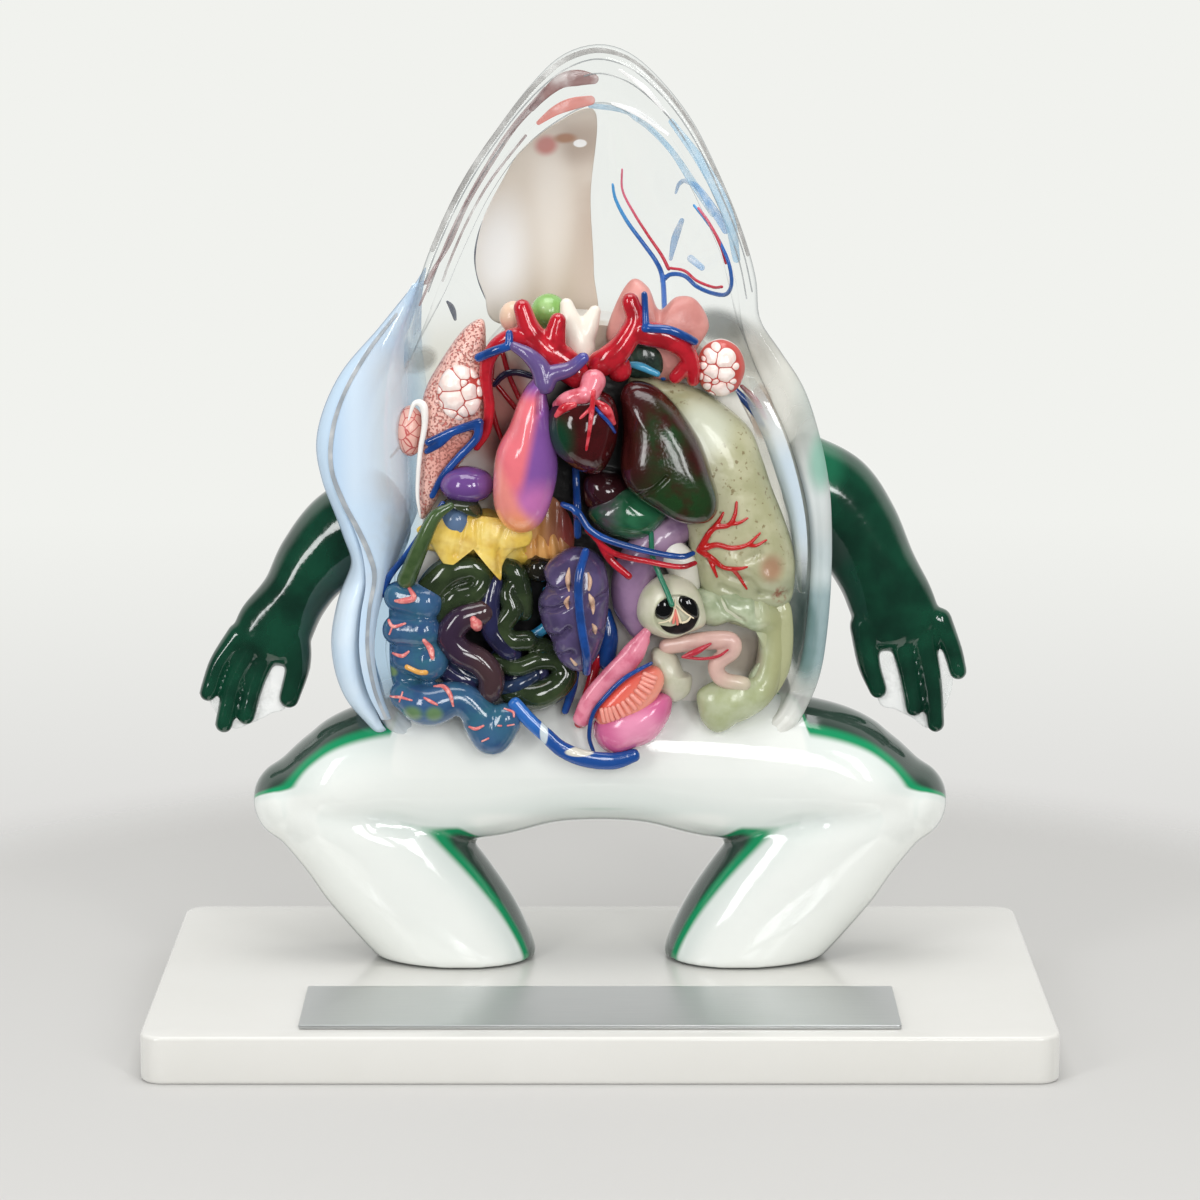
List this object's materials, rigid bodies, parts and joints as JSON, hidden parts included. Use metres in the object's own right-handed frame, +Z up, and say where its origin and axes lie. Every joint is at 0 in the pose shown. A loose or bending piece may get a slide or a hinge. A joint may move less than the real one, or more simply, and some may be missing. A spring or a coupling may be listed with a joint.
{
  "type": "frog anatomy model",
  "caption": "Standing frog anatomy model with a clear open-front trunk, painted organs that lie on a bed, and loose organs that pull off forward, on a white base plate.",
  "frame": {"origin": "middle of the base plate's underside, on the surface that the model stands on", "axes": "+Z up, -Y towards the viewer, who sees the open trunk; +X to the viewer's right"},
  "size_m": [0.28, 0.15, 0.309],
  "materials": {
    "base_white": "satin moulded",
    "plate_metal": "brushed along its length",
    "screw_steel": "plain steel",
    "leg_white": "gloss lacquered white resin",
    "skin_green": "gloss lacquered green resin",
    "shell_clear": "clear cast resin",
    "flap_blue": "blue tinted clear resin",
    "lining_beige": "frosted",
    "bed": "painted resin",
    "artery_red": "gloss enamel",
    "vein_blue": "gloss enamel",
    "vena_purple": "gloss enamel",
    "heart_maroon": "gloss enamel",
    "liver_brown": "gloss enamel",
    "organ_pink": "gloss enamel",
    "lung_pink": "satin, pitted",
    "alveoli": "satin",
    "sac_rose": "gloss, shaded",
    "kidney_violet": "gloss enamel",
    "stomach_sage": "satin, mottled",
    "fat_yellow": "satin",
    "pancreas_orange": "satin",
    "spleen_purple": "gloss enamel",
    "grey_blue": "satin",
    "gut_green": "gloss enamel",
    "gut_brown": "gloss enamel",
    "gut_navy": "gloss enamel",
    "gut_blue": "gloss enamel with painted marks",
    "gall_green": "gloss enamel",
    "leaf_green": "gloss enamel",
    "cream": "satin",
    "duct_lilac": "satin",
    "section_red": "satin, ridged",
    "bone_white": "satin",
    "larynx_green": "satin",
    "peach": "satin"
  },
  "bodies": {
    "stand": {"foot_screw_left": "screw_steel", "foot_screw_right": "screw_steel", "base_plate": "base_white", "name_plate": "plate_metal", "legs_front": "leg_white", "legs_back": "skin_green", "head_vein": "vein_blue", "head_artery": "artery_red", "torso_shell": "shell_clear", "palate_lining": "lining_beige", "flank_flap": "flap_blue", "arm_left": "skin_green", "arm_right": "skin_green", "jugular_vein_left": "vein_blue", "jugular_vein_right": "vein_blue", "aortic_arch_left": "artery_red", "aortic_arch_right": "artery_red", "mesenteric_vein": "vein_blue", "mesenteric_artery": "artery_red", "stomach_arteries": "artery_red", "pulmonary_vein_left": "vein_blue", "bile_duct": "gall_green", "uterus_strap": "organ_pink", "abdominal_vein": "vein_blue", "green_gland": "leaf_green", "oviduct": "peach", "gallbladder": "gall_green", "uterus_section": "section_red", "cloaca": "organ_pink", "testis_right": "cream", "testis_left": "grey_blue", "spleen": "spleen_purple", "small_intestine_brown": "gut_brown", "small_intestine_green": "gut_green", "small_intestine_navy": "gut_navy", "large_intestine": "gut_blue", "caecum": "gut_green", "bladder": "cream", "liver_small_lobe": "liver_brown", "alveoli_left": "alveoli", "alveoli_right": "alveoli", "hyoid": "bone_white", "larynx": "larynx_green", "thyroid": "peach", "duodenum": "duct_lilac", "pancreas": "pancreas_orange", "fat_body": "fat_yellow", "lung_left": "lung_pink", "lung_lobe_left": "lung_pink", "omentum": "stomach_sage", "stomach": "stomach_sage", "lung_right": "lung_pink", "organ_bed": "bed"},
    "heart": {"heart": "heart_maroon", "atria": "organ_pink"},
    "liver": {"liver_main_lobe": "liver_brown"},
    "lung_sac": {"lung_sac": "sac_rose", "vena_cava": "vena_purple"},
    "kidney": {"kidney": "kidney_violet", "kidney_vein": "vein_blue"}
  },
  "joints": [
    {"name": "heart_lift_off", "type": "slide", "parent": "stand", "child": "heart", "axis": [0, -1, 0], "range_m": [0, 0.045]},
    {"name": "liver_lift_off", "type": "slide", "parent": "stand", "child": "liver", "axis": [0, -1, 0], "range_m": [0, 0.045]},
    {"name": "lung_sac_lift_off", "type": "slide", "parent": "stand", "child": "lung_sac", "axis": [0, -1, 0], "range_m": [0, 0.045]},
    {"name": "kidney_lift_off", "type": "slide", "parent": "stand", "child": "kidney", "axis": [0, -1, 0], "range_m": [0, 0.045]}
  ]
}
